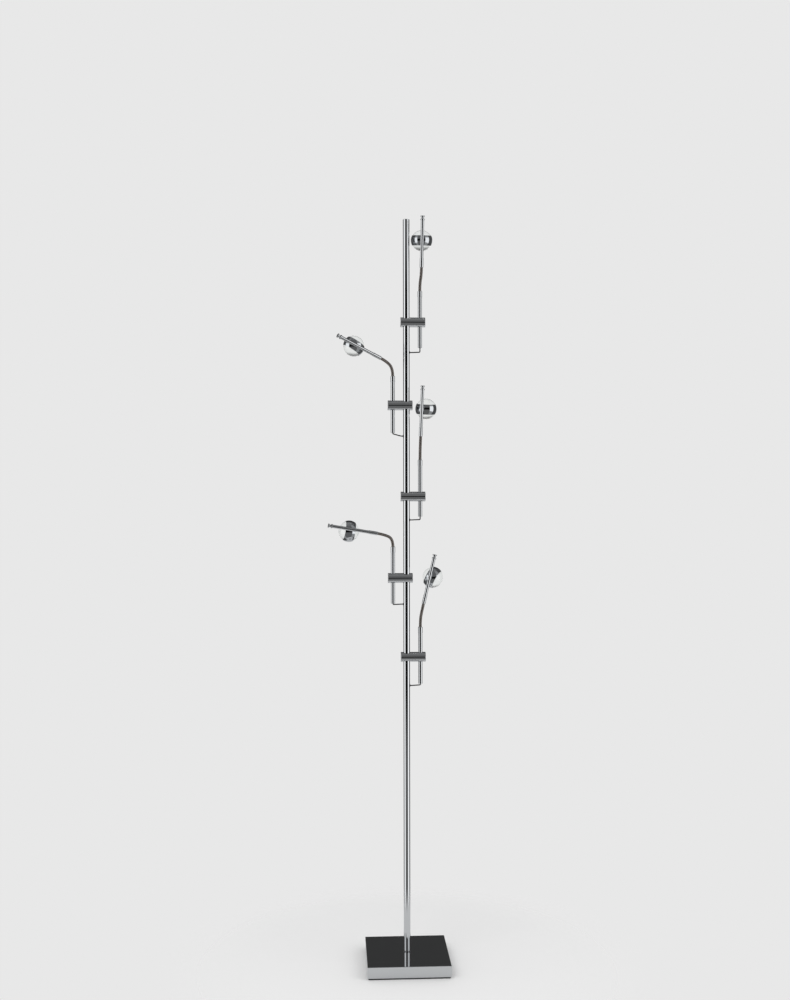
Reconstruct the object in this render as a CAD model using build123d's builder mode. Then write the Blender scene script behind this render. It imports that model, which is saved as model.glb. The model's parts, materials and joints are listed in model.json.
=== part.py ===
"""Tree floor lamp: a square base plate, a slim pole and five clamped arms, each with a glass ball lens.

Millimetres, +Z up, +X to the right and +Y to the back, where the lamps shine. The origin is on the floor,
under the pole.
"""

import os
from collections import namedtuple
from math import cos, pi, radians, sin, tan

from build123d import *

# Base plate, and the rubber pad that it stands on
base_side = 198
base_thickness = 26.5
base_edge_bevel = 0.6
pad_thickness = 3.5
pad_inset = 2
pad_corner_radius = 4
channel_width = 9
channel_height = 12
channel_end_margin = 13
bend_pocket_diameter = 26
bend_pocket_height = 14.5

# Pole, with a closed top and a threaded spigot at its foot
pole_diameter = 16
pole_wall = 1.5
pole_length = 1770
pole_top_bevel = 0.5
spigot_diameter = 14
spigot_length = 12
spigot_bore = 9
plug_length = 14

# Wiring loom in the pole, and the rubber bushes that the leads pass through
loom_diameter = 6
loom_above_top_hole = 12
loom_height_above_floor = 9.5
loom_bend_radius = 9
grommet_outer_diameter = 5
grommet_proud = 0.8
gland_diameter = 10
gland_flange_diameter = 14
gland_flange_thickness = 3

# Clamp: a cross-drilled round bar on a nylon liner
clamp_diameter = 24
clamp_overhang_at_pole = 14.5
clamp_overhang_at_tube = 12.5
clamp_edge_bevel = 0.8
arm_spacing = 33
liner_wall = 0.75
liner_length = 14
screw_diameter = 5
screw_recess = 0.6
screw_socket_width = 2.5
screw_socket_sides = 6
screw_socket_depth = 2.2

# Arm tube
tube_diameter = 10
tube_bore = 7
tube_length = 134
tube_edge_bevel = 0.4

# Lead
lead_diameter = 2.8
lead_tube_bend_radius = 6
lead_hole_bend_radius = 14
lead_straight_at_pole = 5

# Flexible neck, with a ferrule over the tube and one round the rod
neck_root_diameter = 6.2
neck_crest_diameter = 7.2
neck_bore = 4.2
neck_share_of_arcs = 0.48
rib_pitch = 2
rib_count = 28
rib_profile = (
    (0, neck_root_diameter),
    (0.25, neck_crest_diameter),
    (0.7, neck_crest_diameter),
    (0.95, neck_root_diameter),
)
lower_ferrule_diameter = 11
lower_ferrule_above_tube = 4
lower_ferrule_below_tube = 11
upper_ferrule_diameter = 9
upper_ferrule_length = 22
ferrule_bevel = 0.4

# Head rod and its spool-shaped knob
rod_diameter = 8
rod_bore = 6
rod_length = 90
rod_depth_in_ferrule = 12
knob_flange_diameter = 10.4
knob_waist_diameter = 6.8
knob_length = 11
knob_flange_thickness = 2.8
knob_bevel = 0.5
knob_shank_length = 7

# LED holder, on which the strap turns
led_below_tip = 58
led_shank_diameter = 5
led_collar_diameter = 8.4
led_collar_height = 0.8
led_flange_diameter = 8
led_flange_thickness = 0.45
led_inner_end = 0.6
led_chip_diameter = 3.2
led_chip_recess = 0.2

# Ball and the spherical band that grips it
ball_diameter = 50
strap_thickness = 1.2
strap_width = 24
strap_wrap = 97
strap_edge_radius = 0.35
strap_flange_pocket_depth = 0.6

# Clearances on radius
running_fit = 0.05
seat_fit = 0.02
ball_fit = 0.1
screw_tip_gap = 0.1

# The arms from the top down.
# side: +1 to the right of the pole, -1 to its left.
# clamp_below_top: from the pole's top to the clamp's axis.
# tube_drop: how far the tube hangs below the clamp's axis.
# hole_drop: from the tube's foot down to the lead's hole in the pole.
# lead_droop: from the tube's foot down to the lead's bend.
# aim_bearing and aim_rise: where the ball points, to the right of straight back and up from level.
# rod_tilt: the rod's lean to the right, seen along the aim.
# neck_sway: sideways push of the neck's middle run.
# strap_turn: from the rod to the strap's run.
Arm = namedtuple(
    "Arm",
    [
        "number",
        "side",
        "clamp_below_top",
        "tube_drop",
        "hole_drop",
        "lead_droop",
        "aim_bearing",
        "aim_rise",
        "rod_tilt",
        "neck_sway",
        "strap_turn",
    ],
)
arms = [
    Arm(1, 1, 249, 61.5, 11.3, 10.4, 2, 10, 1, 0.32, 90),
    Arm(2, -1, 450, 66.5, 7.6, 2.2, -18, 7, -66, -0.35, 8),
    Arm(3, 1, 670.5, 48.5, 8, 7.1, 24, 7, 5, 0.03, 90),
    Arm(4, -1, 867.5, 61.5, 1.7, 2.6, -11, -10, -80.5, -1.2, 90),
    Arm(5, 1, 1058.5, 65, 4.2, 3, 19, -2, 13, 0.14, 15),
]

# Sizes that follow
base_top = pad_thickness + base_thickness
pole_top = base_top + pole_length
pole_radius = pole_diameter / 2
pole_bore_radius = pole_radius - pole_wall
spigot_foot = base_top - spigot_length
liner_inner_radius = pole_radius + running_fit
liner_outer_radius = liner_inner_radius + liner_wall
clamp_pole_bore_radius = liner_outer_radius + running_fit
clamp_tube_bore_radius = tube_diameter / 2 + running_fit
clamp_length = clamp_overhang_at_pole + arm_spacing + clamp_overhang_at_tube
loom_radius = loom_diameter / 2
lead_radius = lead_diameter / 2
grommet_outer_radius = grommet_outer_diameter / 2
gland_radius = gland_diameter / 2
screw_radius = screw_diameter / 2
strap_inner_radius = ball_diameter / 2 + ball_fit
strap_outer_radius = strap_inner_radius + strap_thickness
ball_from_rod_axis = rod_diameter / 2 + led_collar_height + strap_outer_radius
neck_flexible_length = rib_pitch * rib_count
neck_straight_end = neck_crest_diameter
neck_arcs_length = neck_flexible_length - 2 * neck_straight_end
up = Vector(0, 0, 1)


def arc_per_tangent(turn):
    """Length of an arc divided by one of its two tangents, for a turn in radians."""
    return turn / tan(turn / 2)


class ArmPlaces:
    """Where the pieces of one arm lie."""

    def __init__(self, arm):
        self.x = arm.side * arm_spacing
        self.clamp_z = pole_top - arm.clamp_below_top
        self.foot_z = self.clamp_z - arm.tube_drop
        self.top_z = self.foot_z + tube_length
        self.hole_z = self.foot_z - arm.hole_drop

        bearing = radians(arm.aim_bearing)
        rise = radians(arm.aim_rise)
        self.aim = Vector(sin(bearing) * cos(rise), cos(bearing) * cos(rise), sin(rise))
        steepest = (up - self.aim * up.dot(self.aim)).normalized()
        self.rod = steepest.rotate(Axis((0, 0, 0), self.aim), arm.rod_tilt)

        # The neck leaves the tube upright, turns into a middle run and then into the rod's direction
        middle = (up + self.rod + Vector(arm.neck_sway, 0, 0)).normalized()
        first_turn = radians(up.get_angle(middle))
        second_turn = radians(middle.get_angle(self.rod))
        arcs = arc_per_tangent(first_turn) + arc_per_tangent(second_turn)
        middle_run = neck_arcs_length / (neck_share_of_arcs * arcs + 1 - 2 * neck_share_of_arcs)
        tangent = neck_share_of_arcs * middle_run
        straight = lower_ferrule_above_tube + neck_straight_end
        self.tube_top = Vector(self.x, 0, self.top_z)
        self.first_corner = self.tube_top + up * (straight + tangent)
        self.second_corner = self.first_corner + middle * middle_run
        self.flex_end = self.second_corner + self.rod * (tangent + neck_straight_end)
        self.ferrule_end = self.flex_end + self.rod * upper_ferrule_length
        self.bend_radii = [tangent / tan(first_turn / 2), tangent / tan(second_turn / 2)]
        self.neck_middle = self.first_corner + middle * (middle_run / 2)
        self.bend_axis = up.cross(self.rod).normalized()

        self.rod_foot = self.ferrule_end - self.rod * rod_depth_in_ferrule
        self.knob_seat = self.ferrule_end + self.rod * rod_length
        self.tip = self.knob_seat + self.rod * knob_length
        self.led = self.tip - self.rod * led_below_tip
        self.ball = self.led + self.aim * ball_from_rod_axis


def save(piece, name):
    """Labels a finished piece and writes it."""
    piece.part.label = name
    export_step(piece.part, f"parts/{name}.step")


os.makedirs("parts", exist_ok=True)
places = {arm.number: ArmPlaces(arm) for arm in arms}

# Base plate, drilled for the spigot, with a pocket and a channel below for the loom
gland_z = loom_height_above_floor
back = base_side / 2
with BuildPart() as base_plate:
    with BuildSketch(Plane.XY.offset(pad_thickness)):
        Rectangle(base_side, base_side)
    extrude(amount=base_thickness)
    chamfer(base_plate.edges(), length=base_edge_bevel)
    with BuildSketch(Plane.XY.offset(base_top)):
        Circle(spigot_diameter / 2 + seat_fit)
    extrude(amount=-base_thickness, mode=Mode.SUBTRACT)
    with BuildSketch(Plane.XY.offset(pad_thickness)):
        Circle(bend_pocket_diameter / 2)
    extrude(amount=bend_pocket_height, mode=Mode.SUBTRACT)
    with BuildSketch(Plane.XY.offset(pad_thickness)):
        Rectangle(channel_width, back - channel_end_margin, align=(Align.CENTER, Align.MIN))
    extrude(amount=channel_height, mode=Mode.SUBTRACT)
    with BuildSketch(Plane(origin=(0, back, gland_z), z_dir=(0, -1, 0))):
        Circle(gland_radius + seat_fit)
    extrude(amount=channel_end_margin + loom_diameter, mode=Mode.SUBTRACT)
save(base_plate, "base_plate")

# Rubber pad, a little smaller than the plate
pad_side = base_side - 2 * pad_inset
with BuildPart() as base_pad:
    with BuildSketch():
        RectangleRounded(pad_side, pad_side, pad_corner_radius)
    extrude(amount=pad_thickness)
save(base_pad, "base_pad")

# Pole: tube, closed top, and the plug whose lower end is the spigot
with BuildPart() as pole:
    with BuildSketch(Plane.XY.offset(base_top)):
        Circle(pole_radius)
    extrude(amount=pole_length)
    chamfer(pole.edges().group_by(Axis.Z)[-1], length=pole_top_bevel)
    with BuildSketch(Plane.XY.offset(spigot_foot)):
        Circle(spigot_diameter / 2)
    extrude(amount=spigot_length)
    with BuildSketch(Plane.XY.offset(base_top + plug_length)):
        Circle(pole_bore_radius)
    extrude(amount=pole_length - plug_length - pole_wall, mode=Mode.SUBTRACT)
    with BuildSketch(Plane.XY.offset(spigot_foot)):
        Circle(spigot_bore / 2)
    extrude(amount=spigot_length + plug_length, mode=Mode.SUBTRACT)
    for arm in arms:
        with BuildSketch(Plane(origin=(0, 0, places[arm.number].hole_z), z_dir=(arm.side, 0, 0))):
            Circle(grommet_outer_radius + seat_fit)
        extrude(amount=pole_radius, mode=Mode.SUBTRACT)
save(pole, "pole")

# Wiring loom: down the pole, round one bend and back along the channel to the gland
loom_top = places[1].hole_z + loom_above_top_hole
with BuildPart() as wiring_loom:
    with BuildLine() as loom_route:
        FilletPolyline((0, 0, loom_top), (0, 0, gland_z), (0, back, gland_z), radius=loom_bend_radius)
    with BuildSketch(Plane(origin=(0, 0, loom_top), z_dir=(0, 0, -1))):
        Circle(loom_radius)
    sweep(path=loom_route.wires()[0])
save(wiring_loom, "wiring_loom")
loom_expected = pi * loom_radius**2 * loom_route.wires()[0].length
print(f"loom volume over section times length {wiring_loom.part.volume / loom_expected:.4f}")

# Rubber bushes: one in each lead hole, and the gland at the plate's back
with BuildPart() as rubber_grommets:
    bush_start = pole_bore_radius - grommet_proud
    bush_end = pole_radius + grommet_proud
    for arm in arms:
        origin = (arm.side * bush_start, 0, places[arm.number].hole_z)
        with BuildSketch(Plane(origin=origin, z_dir=(arm.side, 0, 0))):
            Circle(grommet_outer_radius)
            Circle(lead_radius + seat_fit, mode=Mode.SUBTRACT)
        extrude(amount=bush_end - bush_start)
    with BuildSketch(Plane(origin=(0, back, gland_z), z_dir=(0, -1, 0))):
        Circle(gland_radius)
    extrude(amount=channel_end_margin)
    with BuildSketch(Plane(origin=(0, back, gland_z), z_dir=(0, 1, 0))):
        Circle(gland_flange_diameter / 2)
    extrude(amount=gland_flange_thickness)
    with BuildSketch(Plane(origin=(0, back - channel_end_margin, gland_z), z_dir=(0, 1, 0))):
        Circle(loom_radius + seat_fit)
    extrude(amount=channel_end_margin + gland_flange_thickness, mode=Mode.SUBTRACT)
save(rubber_grommets, "rubber_grommets")

for arm in arms:
    at = places[arm.number]

    # Nylon liner round the pole
    with BuildPart() as pole_liner:
        with BuildSketch(Plane.XY.offset(at.clamp_z - liner_length / 2)):
            Circle(liner_outer_radius)
            Circle(liner_inner_radius, mode=Mode.SUBTRACT)
        extrude(amount=liner_length)
    save(pole_liner, f"pole_liner_{arm.number}")

    # Clamp bar, with its bores for liner and tube and a tapped hole in each end
    bar_start = Vector(-arm.side * clamp_overhang_at_pole, 0, at.clamp_z)
    bar_end = bar_start + Vector(arm.side * clamp_length, 0, 0)
    with BuildPart() as clamp_barrel:
        with BuildSketch(Plane(origin=bar_start, z_dir=(arm.side, 0, 0))):
            Circle(clamp_diameter / 2)
        extrude(amount=clamp_length)
        chamfer(clamp_barrel.edges().filter_by(GeomType.CIRCLE), length=clamp_edge_bevel)
        with BuildSketch(Plane.XY.offset(at.clamp_z)):
            Circle(clamp_pole_bore_radius)
            with Locations((at.x, 0)):
                Circle(clamp_tube_bore_radius)
        extrude(amount=clamp_diameter / 2, both=True, mode=Mode.SUBTRACT)
        with BuildSketch(Plane(origin=bar_start, z_dir=(arm.side, 0, 0))):
            Circle(screw_radius + running_fit)
        extrude(amount=clamp_overhang_at_pole, mode=Mode.SUBTRACT)
        with BuildSketch(Plane(origin=bar_end, z_dir=(-arm.side, 0, 0))):
            Circle(screw_radius + running_fit)
        extrude(amount=clamp_overhang_at_tube, mode=Mode.SUBTRACT)
    save(clamp_barrel, f"clamp_barrel_{arm.number}")

    # Two grub screws: their tips stand just off the liner and the tube
    pole_screw_length = clamp_overhang_at_pole - screw_recess - liner_outer_radius - screw_tip_gap
    tube_screw_length = clamp_overhang_at_tube - screw_recess - tube_diameter / 2 - screw_tip_gap
    with BuildPart() as clamp_screws:
        for end, inward, length in (
            (bar_start, arm.side, pole_screw_length),
            (bar_end, -arm.side, tube_screw_length),
        ):
            head = end + Vector(inward * screw_recess, 0, 0)
            with BuildSketch(Plane(origin=head, z_dir=(inward, 0, 0))):
                Circle(screw_radius)
            extrude(amount=length)
            with BuildSketch(Plane(origin=head, z_dir=(inward, 0, 0))):
                RegularPolygon(screw_socket_width / 2, screw_socket_sides, major_radius=False)
            extrude(amount=screw_socket_depth, mode=Mode.SUBTRACT)
    save(clamp_screws, f"clamp_screws_{arm.number}")

    # Arm tube
    with BuildPart() as arm_tube:
        with BuildSketch(Plane.XY.offset(at.foot_z)):
            with Locations((at.x, 0)):
                Circle(tube_diameter / 2)
                Circle(tube_bore / 2, mode=Mode.SUBTRACT)
        extrude(amount=tube_length)
        chamfer(arm_tube.edges().group_by(Axis.Z)[0], length=tube_edge_bevel)
    save(arm_tube, f"arm_tube_{arm.number}")

    # Lead: from the loom, out of the pole, round its bend and up through tube, neck and rod to the LED
    hole_mouth = Vector(arm.side * (pole_radius + lead_straight_at_pole), 0, at.hole_z)
    lead_start = Vector(arm.side * (loom_radius + seat_fit), 0, at.hole_z)
    lead_corner = Vector(at.x, 0, at.foot_z - arm.lead_droop)
    lead_end = at.led - at.rod * (led_shank_diameter / 2 + running_fit)
    lead_radii = [lead_hole_bend_radius, lead_tube_bend_radius, *at.bend_radii]
    with BuildPart() as lead:
        with BuildLine() as lead_route:
            FilletPolyline(
                lead_start,
                hole_mouth,
                lead_corner,
                at.first_corner,
                at.second_corner,
                lead_end,
                radius=lead_radii,
            )
        with BuildSketch(Plane(origin=lead_start, z_dir=(arm.side, 0, 0))):
            Circle(lead_radius)
        sweep(path=lead_route.wires()[0])
    save(lead, f"lead_{arm.number}")
    lead_length = lead_route.wires()[0].length
    lead_ratio = lead.part.volume / (pi * lead_radius**2 * lead_length)
    radii_text = " ".join(f"{radius:.1f}" for radius in lead_radii)
    print(f"lead {arm.number} length {lead_length:.1f} radii {radii_text} volume ratio {lead_ratio:.4f}")

    # Flexible neck: ribs along the route, a ferrule over the tube and a ferrule round the rod's foot
    with BuildLine() as neck_route:
        FilletPolyline(
            at.tube_top + up * lower_ferrule_above_tube,
            at.first_corner,
            at.second_corner,
            at.flex_end,
            radius=at.bend_radii,
        )
    flex = neck_route.wires()[0]
    with BuildPart() as neck:
        for rib in range(rib_count):
            for share, diameter in rib_profile:
                along = (rib + share) / rib_count
                ring = Plane(origin=flex.position_at(along), x_dir=at.bend_axis, z_dir=flex.tangent_at(along))
                with BuildSketch(ring):
                    Circle(diameter / 2)
        with BuildSketch(Plane(origin=at.flex_end, x_dir=at.bend_axis, z_dir=at.rod)):
            Circle(neck_root_diameter / 2)
        loft(ruled=True)
        with BuildSketch(Plane.XY.offset(at.top_z - lower_ferrule_below_tube)):
            with Locations((at.x, 0)):
                Circle(lower_ferrule_diameter / 2)
        lower_ferrule = extrude(amount=lower_ferrule_below_tube + lower_ferrule_above_tube)
        chamfer(lower_ferrule.edges(), length=ferrule_bevel)
        with BuildSketch(Plane(origin=at.flex_end, x_dir=at.bend_axis, z_dir=at.rod)):
            Circle(upper_ferrule_diameter / 2)
        upper_ferrule = extrude(amount=upper_ferrule_length)
        chamfer(upper_ferrule.edges(), length=ferrule_bevel)
        with BuildSketch(Plane.XY.offset(at.top_z)):
            with Locations((at.x, 0)):
                Circle(tube_diameter / 2 + seat_fit)
        extrude(amount=-lower_ferrule_below_tube, mode=Mode.SUBTRACT)
        with BuildSketch(Plane(origin=at.ferrule_end, x_dir=at.bend_axis, z_dir=-at.rod)):
            Circle(rod_diameter / 2 + seat_fit)
        extrude(amount=rod_depth_in_ferrule, mode=Mode.SUBTRACT)
        with BuildLine():
            FilletPolyline(
                at.tube_top,
                at.first_corner,
                at.second_corner,
                at.ferrule_end,
                radius=at.bend_radii,
            )
        with BuildSketch(Plane(origin=at.tube_top, z_dir=up)):
            Circle(neck_bore / 2)
        sweep(mode=Mode.SUBTRACT)
    save(neck, f"neck_{arm.number}")

    # Head rod, with a hole in its side for the LED holder
    across = at.aim.cross(at.rod)
    with BuildPart() as head_rod:
        with BuildSketch(Plane(origin=at.rod_foot, x_dir=at.aim, z_dir=at.rod)):
            Circle(rod_diameter / 2)
            Circle(rod_bore / 2, mode=Mode.SUBTRACT)
        extrude(amount=rod_depth_in_ferrule + rod_length)
        with BuildSketch(Plane(origin=at.led, x_dir=at.rod, z_dir=at.aim)):
            Circle(led_shank_diameter / 2 + seat_fit)
        extrude(amount=rod_diameter / 2, mode=Mode.SUBTRACT)
    save(head_rod, f"head_rod_{arm.number}")

    # Tip knob: a shank in the rod, two flanges and a waist between them
    flange = knob_flange_diameter / 2
    waist = knob_waist_diameter / 2
    with BuildPart() as tip_knob:
        with BuildSketch(Plane(origin=at.knob_seat, x_dir=at.aim, z_dir=across)) as knob_profile:
            with BuildLine():
                Polyline(
                    (0, 0),
                    (flange, 0),
                    (flange, knob_flange_thickness),
                    (waist, knob_flange_thickness),
                    (waist, knob_length - knob_flange_thickness),
                    (flange, knob_length - knob_flange_thickness),
                    (flange, knob_length),
                    (0, knob_length),
                    close=True,
                )
            make_face()
            chamfer(knob_profile.vertices().group_by(SortBy.DISTANCE)[-1], length=knob_bevel)
            with Locations((0, 0)):
                Rectangle(
                    rod_bore / 2 - seat_fit,
                    knob_shank_length,
                    align=(Align.MIN, Align.MAX),
                )
        revolve(axis=Axis(at.knob_seat, at.rod))
    save(tip_knob, f"tip_knob_{arm.number}")

    # LED holder: shank in the rod, collar saddled on it, and a flange that traps the strap
    shank = led_shank_diameter / 2
    collar_face = rod_diameter / 2 + led_collar_height - running_fit
    strap_outer_face = ball_from_rod_axis - strap_outer_radius
    flange_face = strap_outer_face + strap_thickness - strap_flange_pocket_depth + running_fit
    flange_front = flange_face + led_flange_thickness
    with BuildPart() as led:
        with BuildSketch(Plane(origin=at.led, x_dir=at.rod, z_dir=at.rod.cross(at.aim))):
            with BuildLine():
                Polyline(
                    (0, rod_bore / 2),
                    (led_collar_diameter / 2, rod_bore / 2),
                    (led_collar_diameter / 2, collar_face),
                    (shank, collar_face),
                    (shank, flange_face),
                    (led_flange_diameter / 2, flange_face),
                    (led_flange_diameter / 2, flange_front),
                    (led_chip_diameter / 2, flange_front),
                    (led_chip_diameter / 2, flange_front - led_chip_recess),
                    (0, flange_front - led_chip_recess),
                    close=True,
                )
            make_face()
        revolve(axis=Axis(at.led, at.aim))
        with BuildSketch(Plane(origin=at.led - at.rod * led_collar_diameter, x_dir=at.aim, z_dir=at.rod)):
            Circle(rod_diameter / 2 + seat_fit)
        extrude(amount=2 * led_collar_diameter, mode=Mode.SUBTRACT)
        with BuildSketch(Plane(origin=at.led + at.aim * led_inner_end, x_dir=at.rod, z_dir=at.aim)):
            Circle(shank)
        extrude(amount=collar_face - led_inner_end)
    save(led, f"led_{arm.number}")

    # Strap: a spherical band that reaches just past the ball's middle at both ends
    run = at.rod.rotate(Axis((0, 0, 0), at.aim), arm.strap_turn)
    band_axis = at.aim.cross(run)
    band_start = (-at.aim).rotate(Axis((0, 0, 0), band_axis), -strap_wrap)
    with BuildPart() as strap:
        with BuildSketch(Plane(origin=at.ball, x_dir=band_start, z_dir=band_start.cross(band_axis))) as band:
            Circle(strap_outer_radius)
            Circle(strap_inner_radius, mode=Mode.SUBTRACT)
            Rectangle(
                strap_outer_radius,
                strap_width,
                align=(Align.MIN, Align.CENTER),
                mode=Mode.INTERSECT,
            )
            fillet(band.vertices(), radius=strap_edge_radius)
        revolve(axis=Axis(at.ball, band_axis), revolution_arc=2 * strap_wrap)
        with BuildSketch(Plane(origin=at.led, x_dir=at.rod, z_dir=at.aim)):
            Circle(shank + running_fit)
        extrude(amount=ball_from_rod_axis, mode=Mode.SUBTRACT)
        pocket_face = at.led + at.aim * (flange_face - running_fit)
        with BuildSketch(Plane(origin=pocket_face, x_dir=at.rod, z_dir=at.aim)):
            Circle(led_flange_diameter / 2 + running_fit)
        extrude(amount=strap_thickness, mode=Mode.SUBTRACT)
    save(strap, f"strap_{arm.number}")

    # Glass ball
    with BuildPart() as ball:
        with Locations(at.ball):
            Sphere(ball_diameter / 2)
    save(ball, f"ball_{arm.number}")

    for label, vector in (
        ("neck_middle", at.neck_middle),
        ("bend_axis", at.bend_axis),
        ("led", at.led),
        ("aim", at.aim),
        ("rod", at.rod),
        ("ball", at.ball),
        ("tip", at.tip),
        ("flex_start", at.tube_top + up * lower_ferrule_above_tube),
        ("flex_end", at.flex_end),
    ):
        print(f"arm {arm.number} {label} {vector.X:.12f} {vector.Y:.12f} {vector.Z:.12f}")
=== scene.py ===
import json
from math import ceil, pi, radians

import bpy
from mathutils import Matrix, Vector


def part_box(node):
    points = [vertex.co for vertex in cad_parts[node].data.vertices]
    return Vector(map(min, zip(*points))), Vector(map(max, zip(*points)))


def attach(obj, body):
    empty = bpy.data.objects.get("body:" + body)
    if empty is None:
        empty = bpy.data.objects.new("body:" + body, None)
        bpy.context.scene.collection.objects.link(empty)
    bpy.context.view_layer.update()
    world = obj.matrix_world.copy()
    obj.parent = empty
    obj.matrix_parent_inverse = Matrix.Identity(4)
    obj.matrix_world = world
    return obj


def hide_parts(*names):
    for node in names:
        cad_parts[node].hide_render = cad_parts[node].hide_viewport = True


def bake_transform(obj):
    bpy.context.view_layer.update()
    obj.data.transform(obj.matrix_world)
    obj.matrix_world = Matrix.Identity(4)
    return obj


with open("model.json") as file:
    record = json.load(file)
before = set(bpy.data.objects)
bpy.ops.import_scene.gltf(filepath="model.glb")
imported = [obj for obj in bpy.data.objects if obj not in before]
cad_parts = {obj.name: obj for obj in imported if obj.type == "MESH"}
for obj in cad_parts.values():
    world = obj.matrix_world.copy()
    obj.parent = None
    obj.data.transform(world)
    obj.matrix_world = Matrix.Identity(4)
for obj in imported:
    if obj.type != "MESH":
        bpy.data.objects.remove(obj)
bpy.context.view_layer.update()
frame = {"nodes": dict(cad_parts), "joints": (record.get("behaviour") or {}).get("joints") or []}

# Camera: at chest height and level, nearly three metres away, and turned a little to the right of straight
# back. Its place and lens were solved from the sizes of the lamp's own pieces.
mm = 0.001
camera_place = (-179.6 * mm, -2894.4 * mm, 1130 * mm)
camera_turn = radians(3)
camera_roll = radians(0.08)
camera_lens = 43.128
camera_sensor = 36
horizon_shift = -0.0036

view = bpy.data.cameras.new("camera")
view.sensor_fit = "VERTICAL"
view.sensor_height = camera_sensor
view.lens = camera_lens
view.shift_y = horizon_shift
camera = bpy.data.objects.new("camera", view)
camera.location = camera_place
camera.rotation_euler = (pi / 2, camera_roll, -camera_turn)
bpy.context.collection.objects.link(camera)
bpy.context.scene.camera = camera

# Base plate: a square of thick steel with eased edges, ground and buffed before it was nickelled and chromed.
# It is solid, because its weight keeps the lamp upright, and the pole screws into its middle.
plate_edge_radius = 0.8 * mm
plate_edge_steps = 4
chrome_colour = "C2C4C6"
plate_haze = (0.03, 0.075)
buffing_patch = 45 * mm
buffing_ripple = 22 * mm
buffing_depth = 0.02 * mm
cloud_range = (0.35, 0.7)


def linear(colour):
    """An sRGB hex colour as linear red, green, blue and alpha."""
    shares = [int(colour[i : i + 2], 16) / 255 for i in (0, 2, 4)]
    return [s / 12.92 if s <= 0.04045 else ((s + 0.055) / 1.055) ** 2.4 for s in shares] + [1]


def add_node(tree, kind, settings=None, links=None):
    """Adds a node, sets its sockets or properties, and links other nodes' outputs into its sockets."""
    node = tree.nodes.new("ShaderNode" + kind)
    for name, value in (settings or {}).items():
        if isinstance(name, int) or name in node.inputs:
            node.inputs[name].default_value = value
        else:
            setattr(node, name, value)
    for name, output in (links or {}).items():
        tree.links.new(output, node.inputs[name])
    return node


def new_material(name, colour, metallic, roughness):
    """A material with its main shader set. Gives it, its tree, its shader and the Object coordinates."""
    material = bpy.data.materials.new(name)
    material.use_nodes = True
    tree = material.node_tree
    shader = tree.nodes["Principled BSDF"]
    shader.inputs["Base Color"].default_value = linear(colour)
    shader.inputs["Metallic"].default_value = metallic
    shader.inputs["Roughness"].default_value = roughness
    return material, tree, shader, add_node(tree, "TexCoord").outputs["Object"]


def polished_metal(name, colour, haze, patch, ripple, depth, stretch=(1, 1, 1)):
    """Buffed metal: its haze varies from patch to patch, and the wheel's faint ripple bends reflections.

    Buffing scratches are finer than a hundredth of a millimetre. They are drawn as coarse as patches and
    ripples of some millimetres, so that they show.
    """
    material, tree, shader, place = new_material(name, colour, 1, haze[0])
    drawn_out = add_node(tree, "Mapping", {"Scale": stretch}, {"Vector": place}).outputs["Vector"]
    patches = add_node(tree, "TexNoise", {"Scale": 1 / patch, "Detail": 5}, {"Vector": drawn_out})
    spread = {"From Min": cloud_range[0], "From Max": cloud_range[1], "To Min": haze[0], "To Max": haze[1]}
    roughness = add_node(tree, "MapRange", spread, {"Value": patches.outputs["Fac"]})
    tree.links.new(roughness.outputs["Result"], shader.inputs["Roughness"])
    waves = add_node(tree, "TexNoise", {"Scale": 1 / ripple, "Detail": 1}, {"Vector": drawn_out})
    bump = add_node(tree, "Bump", {"Strength": 1, "Distance": depth}, {"Height": waves.outputs["Fac"]})
    tree.links.new(bump.outputs["Normal"], shader.inputs["Normal"])
    return material


def pick(piece):
    """Makes a piece the only one selected, and the active one."""
    bpy.ops.object.select_all(action="DESELECT")
    piece.select_set(True)
    bpy.context.view_layer.objects.active = piece


def apply_modifiers(piece):
    """Applies all modifiers of a piece in their order."""
    pick(piece)
    for modifier in list(piece.modifiers):
        bpy.ops.object.modifier_apply(modifier=modifier.name)


def ease_edges(piece, radius, steps=3, sharper_than=30):
    """Rounds a piece's edges, and keeps its flat faces flat to the eye."""
    bevel = piece.modifiers.new("eased_edges", "BEVEL")
    bevel.width = radius
    bevel.segments = steps
    bevel.limit_method = "ANGLE"
    bevel.angle_limit = radians(sharper_than)
    apply_modifiers(piece)
    bpy.ops.object.shade_smooth_by_angle(angle=radians(sharper_than + 5))
    piece.modifiers.new("flat_faces", "WEIGHTED_NORMAL").keep_sharp = True
    apply_modifiers(piece)


def edit_all(part="VERT"):
    """Opens the active piece in edit mode, with all its vertices, edges or faces selected."""
    bpy.ops.object.mode_set(mode="EDIT")
    bpy.ops.mesh.select_mode(type=part)
    bpy.ops.mesh.select_all(action="SELECT")


def box_piece(name, low, high):
    """A block between two corners, with its object at the origin."""
    bpy.ops.object.select_all(action="DESELECT")
    bpy.ops.mesh.primitive_cube_add(size=1, location=(low + high) / 2, scale=high - low)
    piece = bpy.context.active_object
    piece.name = name
    bpy.ops.object.transform_apply(location=True, rotation=True, scale=True)
    return piece


# Buffed nickel and chrome give the eye a cool mirror, hazy only where the wheel cut unevenly
buffed_chrome = polished_metal(
    "buffed_chrome_plate", chrome_colour, plate_haze, buffing_patch, buffing_ripple, buffing_depth
)
root = "base_and_pole"
plate_low, plate_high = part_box("base_plate")
plate = box_piece("chromed_base_plate", plate_low, plate_high)
ease_edges(plate, plate_edge_radius, plate_edge_steps)
plate.data.materials.append(buffed_chrome)
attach(plate, root)
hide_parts("base_plate")

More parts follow.
